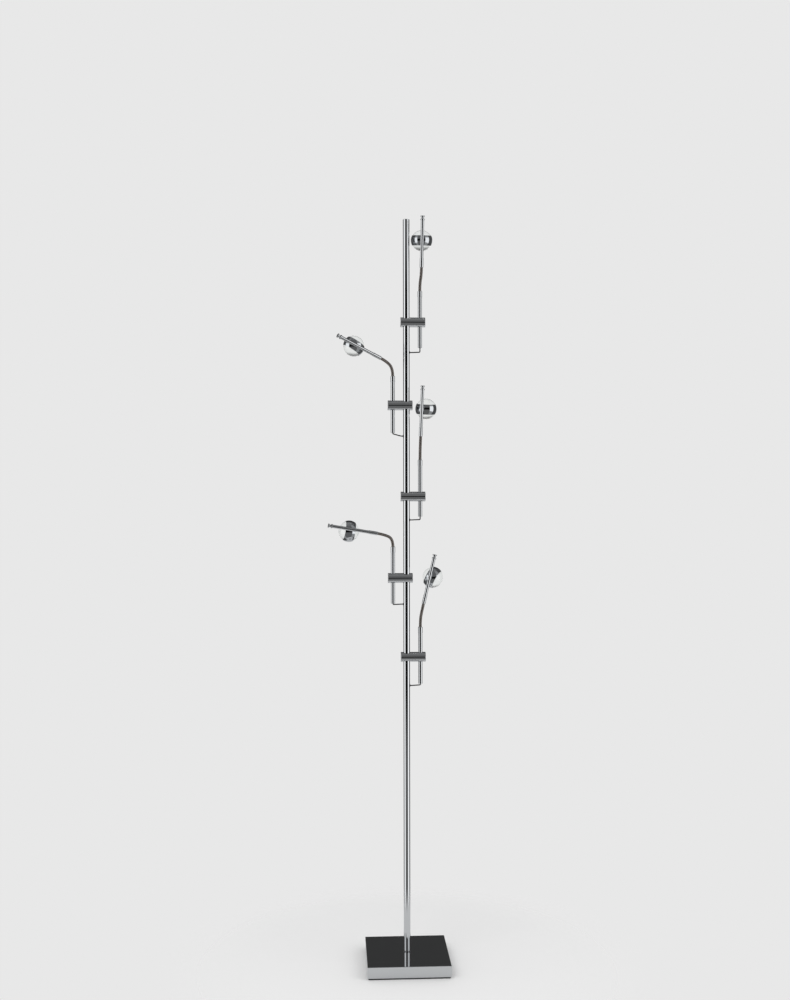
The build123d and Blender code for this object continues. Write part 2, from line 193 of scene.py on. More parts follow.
# Base pad: a sheet of black rubber glued under the plate, cut a little smaller so that it shows only as a
# dark line. It keeps the steel off the floor.
pad_corner_radius = 4 * mm
pad_corner_steps = 8
pad_edge_radius = 0.3 * mm
rubber_colour = "161617"
rubber_roughness = 0.82
rubber_ior = 1.52
rubber_pimple = 0.6 * mm
rubber_relief = {"Strength": 0.6, "Distance": 0.03 * mm}

# Moulded rubber gives the eye a soft black without gloss. Its pimples of 0.2 mm are too fine to show, and are
# drawn three times as coarse
moulded_rubber, tree, shader, place = new_material("moulded_black_rubber", rubber_colour, 0, rubber_roughness)
shader.inputs["IOR"].default_value = rubber_ior
pimples = add_node(tree, "TexVoronoi", {"Scale": 1 / rubber_pimple}, {"Vector": place})
relief = add_node(tree, "Bump", rubber_relief, {"Height": pimples.outputs["Distance"]})
tree.links.new(relief.outputs["Normal"], shader.inputs["Normal"])

pad = box_piece("rubber_base_pad", *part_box("base_pad"))
edit_all("EDGE")
bpy.ops.mesh.select_all(action="DESELECT")
bpy.ops.object.mode_set(mode="OBJECT")
for edge in pad.data.edges:
    ends = [pad.data.vertices[v].co for v in edge.vertices]
    edge.select = abs(ends[0].z - ends[1].z) > mm
bpy.ops.object.mode_set(mode="EDIT")
bpy.ops.mesh.bevel(offset=pad_corner_radius, segments=pad_corner_steps)
bpy.ops.object.mode_set(mode="OBJECT")
ease_edges(pad, pad_edge_radius, 2, sharper_than=60)
pad.data.materials.append(moulded_rubber)
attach(pad, root)
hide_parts("base_pad")

# Pole: one length of steel tube, drawn, belt-polished along its length and chromed, closed at the top. Five
# small holes let the leads in. Its foot is relieved above the thread, which shows as a dark ring.
pole_radius = 8
pole_neck_radius = 6.5
pole_neck_height = 1.8
pole_top_radius = 0.8
pole_haze = (0.03, 0.075)
belt_patch = 30 * mm
belt_ripple = 14 * mm
belt_depth = 0.022 * mm
along_pole = (1, 1, 0.12)
lead_hole_radius = 2.5
lead_hole_floor = 2
lead_hole_margin = 8
lead_hole_below_tube = {1: 11.3, 2: 7.6, 3: 8, 4: 1.7, 5: 4.2}
cutter_margin = 2
small_hole_sides = 32
merge_distance = 0.001 * mm
arms = range(1, 6)


def turned(name, rings, sides=96):
    """A round piece made ring by ring along +Z, as on a lathe, from radii and heights in millimetres.

    Rings that end where they start make a piece with a bore. Otherwise its two ends are closed.
    """
    bpy.ops.object.select_all(action="DESELECT")
    radius, height = rings[0]
    bpy.ops.mesh.primitive_circle_add(vertices=sides, radius=radius * mm, location=(0, 0, height * mm))
    piece = bpy.context.active_object
    piece.name = name
    bpy.ops.object.transform_apply(location=True)
    edit_all()
    for next_radius, next_height in rings[1:]:
        rise = (0, 0, (next_height - height) * mm)
        share = next_radius / radius
        bpy.ops.mesh.extrude_region_move(TRANSFORM_OT_translate={"value": rise})
        bpy.ops.transform.resize(value=(share, share, 1), center_override=(0, 0, next_height * mm))
        radius, height = next_radius, next_height
    bpy.ops.mesh.select_all(action="SELECT")
    bpy.ops.mesh.remove_doubles(threshold=merge_distance)
    bpy.ops.mesh.fill_holes(sides=0)
    bpy.ops.mesh.select_all(action="SELECT")
    bpy.ops.mesh.normals_make_consistent(inside=False)
    bpy.ops.object.mode_set(mode="OBJECT")
    return piece


def cut(piece, cutter):
    """Cuts one mesh out of another, and removes the cutter."""
    boolean = piece.modifiers.new("cut", "BOOLEAN")
    boolean.operation = "DIFFERENCE"
    boolean.object = cutter
    apply_modifiers(piece)
    bpy.data.objects.remove(cutter)


def lay_along(piece, direction):
    """Turns a piece that was made along +Z so that it lies along another direction."""
    piece.data.transform(Vector(direction).to_track_quat("Z", "Y").to_matrix().to_4x4())


def fit_copy(model, name, matrix, body, node):
    """Puts a copy of a modelled piece, with its own mesh, in its place on a body, in a node's stead."""
    piece = model.copy()
    piece.data = model.data.copy()
    piece.name = name
    bpy.context.collection.objects.link(piece)
    piece.data.transform(matrix)
    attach(piece, body)
    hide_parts(node)


# Belt-polished chrome gives the eye sharp dark and bright bands, drawn out along the tube and a little uneven
polished_tube = polished_metal(
    "belt_polished_chrome_tube",
    chrome_colour,
    pole_haze,
    belt_patch,
    belt_ripple,
    belt_depth,
    along_pole,
)
joints = {joint["name"]: joint for joint in frame["joints"]}
tube_axis = {n: Vector(joints[f"arm_turn_{n}"]["pos_m"]) for n in arms}
side = {n: 1 if tube_axis[n].x > 0 else -1 for n in arms}
tube_foot = {n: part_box(f"arm_tube_{n}")[0].z for n in arms}
tube_top = {n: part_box(f"arm_tube_{n}")[1].z for n in arms}
lead_hole = {n: tube_foot[n] - lead_hole_below_tube[n] * mm for n in arms}

pole_foot = plate_high.z / mm
neck_top = pole_foot + pole_neck_height
pole_rings = [(pole_neck_radius, pole_foot), (pole_neck_radius, neck_top), (pole_radius, neck_top)]
for n in reversed(arms):
    for step in (-lead_hole_margin, lead_hole_margin):
        pole_rings.append((pole_radius, lead_hole[n] / mm + step))
pole = turned("chromed_pole", pole_rings + [(pole_radius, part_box("pole")[1].z / mm)])
ease_edges(pole, pole_top_radius * mm, 4, sharper_than=60)
hole_rings = [(lead_hole_radius, lead_hole_floor), (lead_hole_radius, pole_radius + cutter_margin)]
for n in arms:
    hole = turned("hole", hole_rings, small_hole_sides)
    lay_along(hole, (side[n], 0, 0))
    hole.data.transform(Matrix.Translation((0, 0, lead_hole[n])))
    cut(pole, hole)
pole.data.materials.append(polished_tube)
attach(pole, root)
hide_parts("pole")

# Rubber bushes and cable gland: each lead hole has a snap-in bush with a small lip, and the mains gland at
# the plate's back has a ribbed nut. Both are moulded, and keep the leads off the metal's edges.
bush_bore = 1.4
bush_neck_radius = 2.5
bush_lip_radius = 3.1
bush_start = 6
bush_lip_start = 7.1
bush_lip_end = 8.8
bush_lip_taper = (0.5, 0.4)
bush_edge_radius = 0.12 * mm
gland_radius = 5
gland_bore = 3.02
gland_nut_radius = 7
gland_depth = 13
gland_nut_length = 3
gland_nut_bevel = (1.1, 0.9)
gland_mouth_bevel = (0.9, 0.8)
gland_edge_radius = 0.1 * mm
small_part_sides = 48
sides_per_grip = 3
grip_wall = 0.12 * mm
grip_depth = 0.45 * mm
grip_lean = 0.1

bush = turned(
    "bush",
    [
        (bush_bore, bush_start),
        (bush_neck_radius, bush_start),
        (bush_neck_radius, bush_lip_start),
        (bush_lip_radius, bush_lip_start),
        (bush_lip_radius, bush_lip_end - bush_lip_taper[1]),
        (bush_lip_radius - bush_lip_taper[0], bush_lip_end),
        (bush_bore, bush_lip_end),
        (bush_bore, bush_start),
    ],
    small_part_sides,
)
ease_edges(bush, bush_edge_radius, 2)
bush.data.materials.append(moulded_rubber)
lay_along(bush, (1, 0, 0))
half_turn = {n: Matrix.Rotation(0 if side[n] > 0 else pi, 4, "Z") for n in arms}
for n in arms:
    matrix = Matrix.Translation((0, 0, lead_hole[n])) @ half_turn[n]
    fit_copy(bush, f"lead_bush_{n}", matrix, root, "rubber_grommets")
bpy.data.objects.remove(bush)

gland = turned(
    "mains_gland",
    [
        (gland_bore, -gland_depth),
        (gland_radius, -gland_depth),
        (gland_radius, 0),
        (gland_nut_radius, 0),
        (gland_nut_radius, gland_nut_length - gland_nut_bevel[1]),
        (gland_nut_radius - gland_nut_bevel[0], gland_nut_length),
        (gland_bore + gland_mouth_bevel[0], gland_nut_length),
        (gland_bore, gland_nut_length - gland_mouth_bevel[1]),
        (gland_bore, -gland_depth),
    ],
    small_part_sides,
)
edit_all("FACE")
bpy.ops.mesh.select_all(action="DESELECT")
bpy.ops.object.mode_set(mode="OBJECT")
for face in gland.data.polygons:
    turns = face.center.xy.angle_signed(Vector((1, 0))) / (2 * pi)
    round_the_rim = int(turns * small_part_sides + small_part_sides)
    upright = abs(face.normal.z) < grip_lean
    at_rim = upright and face.center.z > 0 and face.center.xy.length > gland_radius * mm
    face.select = at_rim and round_the_rim % sides_per_grip == 0
bpy.ops.object.mode_set(mode="EDIT")
bpy.ops.mesh.inset(thickness=grip_wall, depth=-grip_depth, use_individual=True)
bpy.ops.object.mode_set(mode="OBJECT")
ease_edges(gland, gland_edge_radius, 2)
gland.data.materials.append(moulded_rubber)
lay_along(gland, (0, 1, 0))
gland_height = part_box("rubber_grommets")[0].z + gland_nut_radius * mm
gland.data.transform(Matrix.Translation((0, plate_high.y, gland_height)))
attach(gland, root)
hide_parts("rubber_grommets")

# Wiring loom and liners: five thin leads in one PVC sheath run inside the pole and the plate, and only their
# end shows, in the gland. Moulded nylon sleeves fill the gap between pole and clamps, as thin pale rings.
sheath_colour = "121214"
sheath_roughness = 0.46
sheath_ior = 1.53
sheath_grain = 1.5 * mm
sheath_relief = {"Strength": 0.5, "Distance": 0.01 * mm}
nylon_colour = "D3CFC2"
nylon_shade_colour = "C2BCAB"
nylon_roughness = 0.5
nylon_ior = 1.53
nylon_cloud = 6 * mm

# Extruded PVC gives the eye black with a soft sheen. Its grain of 0.3 mm is too fine to show, and is drawn
# five times as coarse
pvc_sheath, tree, shader, place = new_material("extruded_pvc_sheath", sheath_colour, 0, sheath_roughness)
shader.inputs["IOR"].default_value = sheath_ior
grain = add_node(tree, "TexNoise", {"Scale": 1 / sheath_grain, "Detail": 3}, {"Vector": place})
relief = add_node(tree, "Bump", sheath_relief, {"Height": grain.outputs["Fac"]})
tree.links.new(relief.outputs["Normal"], shader.inputs["Normal"])

# Moulded nylon, left in its natural colour, gives the eye a warm, milky white, a little cloudy
natural_nylon, tree, shader, place = new_material("moulded_natural_nylon", nylon_colour, 0, nylon_roughness)
shader.inputs["IOR"].default_value = nylon_ior
cloud = add_node(tree, "TexNoise", {"Scale": 1 / nylon_cloud, "Detail": 2}, {"Vector": place})
both = {"data_type": "RGBA", 6: linear(nylon_colour), 7: linear(nylon_shade_colour)}
tones = add_node(tree, "Mix", both, {0: cloud.outputs["Fac"]})
tree.links.new(tones.outputs[2], shader.inputs["Base Color"])

for name, material in [("wiring_loom", pvc_sheath)] + [(f"pole_liner_{n}", natural_nylon) for n in arms]:
    frame["nodes"][name].data.materials.clear()
    frame["nodes"][name].data.materials.append(material)

# Clamp bars: round steel bar, turned to length with eased ends, cross-drilled for the liner on the pole and
# for the arm tube, tapped in both end faces, then polished and chromed.
bar_radius = 12
bar_past_pole = 14.5
bar_past_tube = 12.5
bar_edge_radius = 0.8
pole_bore_radius = 8.85
tube_bore_radius = 5.05
screw_hole_radius = 2.55
bar_sides = 128
bar_shading_angle = radians(35)
bar_haze = (0.03, 0.075)
bar_patch = 18 * mm
bar_ripple = 9 * mm
bar_depth = 0.008 * mm

# Chromed bar, polished on a small mop, gives the eye crisp bands that waver less than those on the tubes
polished_bar = polished_metal(
    "polished_chrome_bar", chrome_colour, bar_haze, bar_patch, bar_ripple, bar_depth
)
tube_from_pole = abs(tube_axis[1].x) / mm
bar_end = tube_from_pole + bar_past_tube
bar = turned("bar", [(bar_radius, -bar_past_pole), (bar_radius, bar_end)], bar_sides)
ease_edges(bar, bar_edge_radius * mm, 4, sharper_than=60)
lay_along(bar, (1, 0, 0))
bore_reach = bar_radius + cutter_margin
for x, radius in ((0, pole_bore_radius), (tube_from_pole, tube_bore_radius)):
    bore = turned("bore", [(radius, -bore_reach), (radius, bore_reach)])
    bore.data.transform(Matrix.Translation((x * mm, 0, 0)))
    cut(bar, bore)
for start, end in ((-bar_past_pole - cutter_margin, 0), (tube_from_pole, bar_end + cutter_margin)):
    bore = turned("bore", [(screw_hole_radius, start), (screw_hole_radius, end)], small_hole_sides)
    lay_along(bore, (1, 0, 0))
    cut(bar, bore)
pick(bar)
bpy.ops.object.shade_smooth_by_angle(angle=bar_shading_angle)
bar.data.materials.append(polished_bar)
clamp_place = {n: Matrix.Translation(joints[f"clamp_turn_{n}"]["pos_m"]) @ half_turn[n] for n in arms}
for n in arms:
    fit_copy(bar, f"chromed_clamp_bar_{n}", clamp_place[n], f"clamp_{n}", f"clamp_barrel_{n}")
bpy.data.objects.remove(bar)

# Grub screws: two in each clamp, of blackened steel, with a hexagon socket and set just below the bar's end
# faces. One grips the liner and the other the arm tube.
screw_radius = 2.5
screw_recess = 0.6
screw_length = 5
socket_radius = 1.44
socket_depth = 2.2
socket_sides = 6
screw_edge_radius = 0.15 * mm
black_steel_colour = "2E2F31"
black_steel_haze = (0.32, 0.5)
black_steel_patch = 2 * mm
black_steel_ripple = 0.8 * mm
black_steel_depth = 0.01 * mm

# Oil-blackened steel gives the eye a near black with a dull sheen, which keeps the sockets dark
black_steel = polished_metal(
    "blackened_steel_screw",
    black_steel_colour,
    black_steel_haze,
    black_steel_patch,
    black_steel_ripple,
    black_steel_depth,
)
for end, inward, name in ((-bar_past_pole, 1, "liner_screw"), (bar_end, -1, "tube_screw")):
    screw = turned("screw", [(screw_radius, 0), (screw_radius, screw_length)], small_part_sides)
    socket_rings = [(socket_radius, -cutter_margin), (socket_radius, socket_depth)]
    cut(screw, turned("socket", socket_rings, socket_sides))
    ease_edges(screw, screw_edge_radius, 2)
    screw.data.materials.append(black_steel)
    lay_along(screw, (inward, 0, 0))
    screw.data.transform(Matrix.Translation(((end + inward * screw_recess) * mm, 0, 0)))
    for n in arms:
        fit_copy(screw, f"{name}_{n}", clamp_place[n], f"clamp_{n}", f"clamp_screws_{n}")
    bpy.data.objects.remove(screw)

# Arm tubes: short straight lengths of drawn steel tube, chromed like the pole. Each is held in its clamp by a
# screw, and its open lower end is rolled smooth for the lead.
tube_radius = 5
tube_bore = 3.5
tube_lip = 0.45
tube_sides = 64

tube_length = (tube_top[1] - tube_foot[1]) / mm
tube_rings = [
    (tube_radius, 0),
    (tube_radius, tube_length),
    (tube_bore, tube_length),
    (tube_bore, 0),
    (tube_radius, 0),
]
tube = turned("tube", tube_rings, tube_sides)
ease_edges(tube, tube_lip * mm)
tube.data.materials.append(polished_tube)
for n in arms:
    matrix = Matrix.Translation((tube_axis[n].x, 0, tube_foot[n]))
    fit_copy(tube, f"chromed_arm_tube_{n}", matrix, f"arm_{n}", f"arm_tube_{n}")
bpy.data.objects.remove(tube)

# Leads: thin two-core cable in black PVC. Each leaves the pole by its bush, crosses in a short loop and turns
# up into the arm tube, where it runs on to the lamp. Its two halves meet where sliding ends and turning
# starts.
lead_radius = 1.4 * mm
lead_wall_steps = 5
lead_route_steps = 10
lead_shading_angle = radians(50)
lead_bend_below_tube = {1: 10.4, 2: 2.2, 3: 7.1, 4: 2.6, 5: 3}
lead_start_in_pole = 3 * mm
lead_past_bush = 10 * mm
lead_leaves_level = 13 * mm
lead_settled = 6 * mm
lead_corner = 1 * mm
lead_upright = 8 * mm
lead_up_tube = 40 * mm
lead_split = 17 * mm
pole_end_gives = (8.8 * mm, 16.5 * mm)
tube_end_gives = (17.5 * mm, 30 * mm)

for n in arms:
    hole = lead_hole[n]
    bend = tube_foot[n] - lead_bend_below_tube[n] * mm
    far = abs(tube_axis[n].x)
    slope = (bend - hole) / (far - lead_leaves_level)
    route = [
        (lead_start_in_pole, hole),
        (lead_past_bush, hole),
        (lead_leaves_level, hole),
        (lead_leaves_level + lead_settled, hole + slope * lead_settled),
        (far - lead_settled, bend - slope * lead_settled),
        (far - lead_corner, bend - slope * lead_corner),
        (far, bend + lead_corner),
        (far, bend + lead_upright),
        (far, tube_foot[n] + lead_up_tube),
    ]
    line = bpy.data.curves.new(f"lead_route_{n}", "CURVE")
    line.dimensions = "3D"
    line.bevel_depth = lead_radius
    line.bevel_resolution = lead_wall_steps
    line.use_fill_caps = True
    spline = line.splines.new("NURBS")
    spline.points.add(len(route) - 1)
    for point, (x, z) in zip(spline.points, route):
        point.co = (side[n] * x, 0, z, 1)
    spline.order_u = 3
    spline.use_endpoint_u = True
    spline.resolution_u = lead_route_steps
    whole = bpy.data.objects.new("lead_route", line)
    bpy.context.collection.objects.link(whole)
    for part, bodies, (start, end), inner in (
        ("pole_end", (root, f"slider_{n}"), pole_end_gives, side[n] > 0),
        ("tube_end", (f"slider_{n}", f"clamp_{n}"), tube_end_gives, side[n] < 0),
    ):
        drawn = whole.evaluated_get(bpy.context.evaluated_depsgraph_get())
        mesh = bpy.data.meshes.new_from_object(drawn)
        lead = bpy.data.objects.new(f"lead_{part}_{n}", mesh)
        bpy.context.collection.objects.link(lead)
        pick(lead)
        edit_all()
        bpy.ops.mesh.remove_doubles(threshold=merge_distance)
        bpy.ops.mesh.normals_make_consistent(inside=False)
        bpy.ops.mesh.bisect(
            plane_co=(side[n] * lead_split, 0, 0),
            plane_no=(1, 0, 0),
            use_fill=True,
            clear_outer=inner,
            clear_inner=not inner,
        )
        bpy.ops.object.mode_set(mode="OBJECT")
        bpy.ops.object.shade_smooth_by_angle(angle=lead_shading_angle)
        lead.data.materials.clear()
        lead.data.materials.append(pvc_sheath)
        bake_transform(lead)
        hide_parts(f"lead_{n}")
    bpy.data.objects.remove(whole)

# Necks: flexible hose, close-wound of steel wire so that it stays where it is bent, and nickel-plated. Turned
# ferrules are pressed on its ends: the lower one fits over the arm tube, the upper one takes the head rod.
hose_pitch = 2 * mm
hose_groove_radius = 3.1 * mm
hose_crest_radius = 3.6 * mm
hose_hidden_end = 3 * mm
hose_route_steps = 32
hose_steps_round = 32
wire_steps_round = 16
hose_shading_angle = radians(70)
weld_distance = 0.02 * mm
ferrule_above_tube = 4
ferrule_below_tube = 11
lower_ferrule_radius = 5.5
lower_ferrule_nose = (0.5, 1.2)
upper_ferrule_radius = 4.5
upper_ferrule_nose = 0.8
upper_ferrule_length = 22
ferrule_mouth = 3.8
ferrule_edge_radius = 0.3 * mm
led_to_ferrule_end = 43
# The hose's grey is nickel darkened with painted shade, which stands in for the shade in the grooves between
# the turns
hose_grey_with_painted_shade = "8C8580"
hose_haze = (0.12, 0.24)
hose_patch = 5 * mm
hose_ripple = 1.5 * mm
hose_depth = 0.02 * mm

# Nickel-plated wire gives the eye a warmer, duller grey than chrome, with a dark line between its turns.
# Its grey is set well below the plating's own, as painted shade for the grooves between the turns
plated_wire = polished_metal(
    "nickel_plated_wound_wire", hose_grey_with_painted_shade, hose_haze, hose_patch, hose_ripple, hose_depth
)
lower_ferrule = turned(
    "lower_ferrule",
    [
        (lower_ferrule_radius, -ferrule_below_tube),
        (lower_ferrule_radius, ferrule_above_tube - lower_ferrule_nose[1]),
        (ferrule_mouth + lower_ferrule_nose[0], ferrule_above_tube),
    ],
    tube_sides,
)
upper_ferrule = turned(
    "upper_ferrule",
    [
        (ferrule_mouth, 0),
        (upper_ferrule_radius, upper_ferrule_nose),
        (upper_ferrule_radius, upper_ferrule_length),
    ],
    tube_sides,
)
for ferrule in (lower_ferrule, upper_ferrule):
    ease_edges(ferrule, ferrule_edge_radius)
    ferrule.data.materials.append(polished_bar)

head_place = {}
for n in arms:
    aim = Vector(joints[f"ball_turn_{n}"]["axis"])
    led = Vector(joints[f"ball_turn_{n}"]["pos_m"])
    bend = joints[f"neck_bend_{n}"]
    rod = aim.cross(Vector(bend["axis"])).normalized()
    if rod.z < 0:
        rod.negate()
    head_turn = Matrix((aim.cross(rod), aim, rod)).transposed().to_4x4()
    head_place[n] = Matrix.Translation(led) @ head_turn

    # The hose leaves the tube upright and ends along the rod. The joint sits halfway along its middle run
    start = Vector((tube_axis[n].x, 0, tube_top[n] + ferrule_above_tube * mm))
    end = led - rod * (led_to_ferrule_end + upper_ferrule_length) * mm
    middle = Vector(bend["pos_m"])
    level_rod = rod.xy
    second_leg = (end.xy - 2 * middle.xy + start.xy).dot(level_rod) / level_rod.length_squared
    second_corner = end - rod * second_leg
    first_corner = 2 * middle - second_corner
    line = bpy.data.curves.new(f"hose_route_{n}", "CURVE")
    line.dimensions = "3D"
    spline = line.splines.new("NURBS")
    spline.points.add(3)
    hidden_start = start - Vector((0, 0, hose_hidden_end))
    hidden_end = end + rod * hose_hidden_end
    for point, corner in zip(spline.points, (hidden_start, first_corner, second_corner, hidden_end)):
        point.co = (*corner, 1)
    spline.order_u = 3
    spline.use_endpoint_u = True
    spline.resolution_u = hose_route_steps
    route = bpy.data.objects.new("hose_route", line)
    bpy.context.collection.objects.link(route)

    bpy.ops.object.select_all(action="DESELECT")
    bpy.ops.mesh.primitive_circle_add(
        vertices=wire_steps_round,
        radius=hose_pitch / 2,
        location=(hose_groove_radius, 0, hose_pitch / 2),
        rotation=(pi / 2, 0, 0),
    )
    hose = bpy.context.active_object
    hose.name = f"neck_hose_{n}"
    bpy.ops.object.transform_apply(location=True, rotation=True)
    edit_all()
    bpy.ops.mesh.bisect(plane_co=(hose_groove_radius, 0, 0), plane_no=(1, 0, 0), clear_inner=True)
    bpy.ops.mesh.select_all(action="SELECT")
    flatten = 2 * (hose_crest_radius - hose_groove_radius) / hose_pitch
    bpy.ops.transform.resize(value=(flatten, 1, 1), center_override=(hose_groove_radius, 0, 0))
    bpy.ops.object.mode_set(mode="OBJECT")
    winding = hose.modifiers.new("winding", "SCREW")
    winding.screw_offset = hose_pitch
    winding.iterations = ceil(spline.calc_length() / hose_pitch) - 1
    winding.steps = hose_steps_round
    winding.render_steps = hose_steps_round
    winding.use_merge_vertices = True
    winding.merge_threshold = weld_distance
    winding.use_normal_calculate = True
    apply_modifiers(hose)
    bent = hose.modifiers.new("bent", "CURVE")
    bent.object = route
    bent.deform_axis = "POS_Z"
    apply_modifiers(hose)
    edit_all()
    bpy.ops.mesh.remove_doubles(threshold=weld_distance)
    bpy.ops.mesh.fill_holes(sides=0)
    bpy.ops.mesh.normals_make_consistent(inside=False)
    bpy.ops.object.mode_set(mode="OBJECT")
    bpy.ops.object.shade_smooth_by_angle(angle=hose_shading_angle)
    bpy.data.objects.remove(route)
    hose.data.materials.append(plated_wire)
    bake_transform(hose)
    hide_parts(f"neck_{n}")

    over_tube = Matrix.Translation((tube_axis[n].x, 0, tube_top[n]))
    fit_copy(lower_ferrule, f"lower_ferrule_{n}", over_tube, f"arm_{n}", f"neck_{n}")
    below_led = Matrix.Translation((0, 0, -(led_to_ferrule_end + upper_ferrule_length) * mm))
    round_rod = head_place[n] @ below_led
    fit_copy(upper_ferrule, f"upper_ferrule_{n}", round_rod, f"head_{n}", f"neck_{n}")
bpy.data.objects.remove(lower_ferrule)
bpy.data.objects.remove(upper_ferrule)

# Head rods: thin steel tube, polished and chromed like the clamp bars, and pushed into the upper ferrules.
# Each carries its lead up to a hole in its side, where the LED sits.
rod_radius = 4
rod_bore = 3
rod_foot = -55
rod_end = 47
rod_edge_radius = 0.25 * mm
led_shank_radius = 2.5
led_hole_start = 1

rod_rings = [
    (rod_radius, rod_foot),
    (rod_radius, rod_end),
    (rod_bore, rod_end),
    (rod_bore, rod_foot),
    (rod_radius, rod_foot),
]
head_rod = turned("head_rod", rod_rings, tube_sides)
ease_edges(head_rod, rod_edge_radius)
led_hole_rings = [(led_shank_radius, led_hole_start), (led_shank_radius, rod_radius + cutter_margin)]
led_hole = turned("led_hole", led_hole_rings, small_hole_sides)
lay_along(led_hole, (0, 1, 0))
cut(head_rod, led_hole)
head_rod.data.materials.append(polished_bar)
for n in arms:
    fit_copy(head_rod, f"chromed_head_rod_{n}", head_place[n], f"head_{n}", f"head_rod_{n}")
bpy.data.objects.remove(head_rod)

# Tip knobs: small spools, turned from bar, polished, chromed and pressed into the rods' ends. They are the
# finger grips by which a head is aimed.
knob_radius = 5.2
knob_waist = 3.4
knob_rim = 2.8
knob_length = 11
knob_end = rod_end + knob_length
knob_shank = 3
knob_seat_bevel = (0.3, 0.4)
knob_flare = (0.4, 0.4)
knob_flare_length = 1.2
knob_crown = ((0, 0.7), (1.2, 0.15), (3, 0))
knob_edge_radius = 0.3 * mm

lower_rim = rod_end + knob_rim
upper_rim = knob_end - knob_rim
knob_rings = [
    (rod_bore, rod_end - knob_shank),
    (rod_bore, rod_end),
    (knob_radius - knob_seat_bevel[0], rod_end),
    (knob_radius, rod_end + knob_seat_bevel[1]),
    (knob_radius, lower_rim),
    (knob_waist + knob_flare[0], lower_rim + knob_flare[1]),
    (knob_waist, lower_rim + knob_flare_length),
    (knob_waist, upper_rim - knob_flare_length),
    (knob_waist + knob_flare[0], upper_rim - knob_flare[1]),
    (knob_radius, upper_rim),
]
knob_rings += [(knob_radius - inward, knob_end - below) for inward, below in knob_crown]
knob = turned("knob", knob_rings, tube_sides)
ease_edges(knob, knob_edge_radius, sharper_than=40)
knob.data.materials.append(polished_bar)
for n in arms:
    fit_copy(knob, f"tip_knob_spool_{n}", head_place[n], f"head_{n}", f"tip_knob_{n}")
bpy.data.objects.remove(knob)

# LED holders: turned aluminium, set in the rods' sides. The collar sits on the rod, the strap turns on the
# shank and the flange traps it. A phosphor-coated chip under a drop of clear resin faces the ball.
collar_radius = 4.2
collar_foot = rod_bore + 0.2
collar_face = 4.75
flange_radius = 4
flange_face = 5.45
flange_front = 5.9
holder_edge_radius = 0.08 * mm
dish_radius = 2
chip_radius = 1.6
chip_seat = 5.6
resin_drop = ((chip_radius, -0.2), (chip_radius, 0.1), (1.2, 0.2), (0.5, 0.28))
resin_edge_radius = 0.05 * mm
resin_roughness = 0.15
turned_aluminium_colour = "C6C8C9"
turned_aluminium_haze = (0.2, 0.34)
turned_aluminium_patch = 5 * mm
turning_mark = 0.9 * mm
turning_depth = 0.01 * mm
phosphor_colour = "FFD98A"
phosphor_grain = 0.4 * mm
glow_colour = "FFE3B8"
glow_strength = 3

# Turned aluminium gives the eye a soft, pale grey. Its tool marks of 0.1 mm are too fine to show, and are
# drawn nine times as coarse
turned_aluminium = polished_metal(
    "turned_aluminium",
    turned_aluminium_colour,
    turned_aluminium_haze,
    turned_aluminium_patch,
    turning_mark,
    turning_depth,
)
holder = turned(
    "holder",
    [
        (collar_radius, collar_foot),
        (collar_radius, collar_face),
        (led_shank_radius, collar_face),
        (led_shank_radius, flange_face),
        (flange_radius, flange_face),
        (flange_radius, flange_front),
        (dish_radius, flange_front),
        (chip_radius, chip_seat),
    ],
    small_part_sides,
)
ease_edges(holder, holder_edge_radius, 2)
holder.data.materials.append(turned_aluminium)

# Phosphor under clear resin gives the eye a glossy yellow bead that glows warm white. Its grains of 0.02 mm
# are too fine to show, and are drawn twenty times as coarse
led_phosphor, tree, shader, place = new_material(
    "led_phosphor_under_resin", phosphor_colour, 0, resin_roughness
)
speckle = add_node(tree, "TexNoise", {"Scale": 1 / phosphor_grain, "Detail": 2}, {"Vector": place})
both = {"data_type": "RGBA", 6: linear(glow_colour), 7: linear(phosphor_colour)}
tones = add_node(tree, "Mix", both, {0: speckle.outputs["Fac"]})
tree.links.new(tones.outputs[2], shader.inputs["Emission Color"])
shader.inputs["Emission Strength"].default_value = glow_strength
chip = turned("chip", [(radius, chip_seat + rise) for radius, rise in resin_drop], small_hole_sides)
ease_edges(chip, resin_edge_radius, 2)
chip.data.materials.append(led_phosphor)
for piece in (holder, chip):
    lay_along(piece, (0, 1, 0))
    for n in arms:
        fit_copy(piece, f"led_{piece.name}_{n}", head_place[n], f"head_{n}", f"led_{n}")
bpy.data.objects.remove(holder)
bpy.data.objects.remove(chip)

# Straps: bands of spring steel, pressed to the ball's curve, polished to a mirror and chromed. Each reaches
# just past the ball's middle at both ends, so that it snaps over the glass, and turns on the holder's shank.
ball_from_led = 31.1
strap_radius = 25.7
strap_thickness = 1.2 * mm
strap_half_width = 12 * mm
strap_reach = radians(97)
strap_edge_radius = 0.3 * mm
strap_pocket_radius = 4.2
strap_pocket_floor = 5.4
strap_arc_sides = 120
strap_spin_steps = 96
strap_shading_angle = radians(65)
strap_turn = {1: 90, 2: 8, 3: 90, 4: 90, 5: 15}
mirror_colour = "B4B7BA"
mirror_haze = (0.015, 0.05)
mirror_patch = 18 * mm
mirror_ripple = 16 * mm
mirror_depth = 0.012 * mm

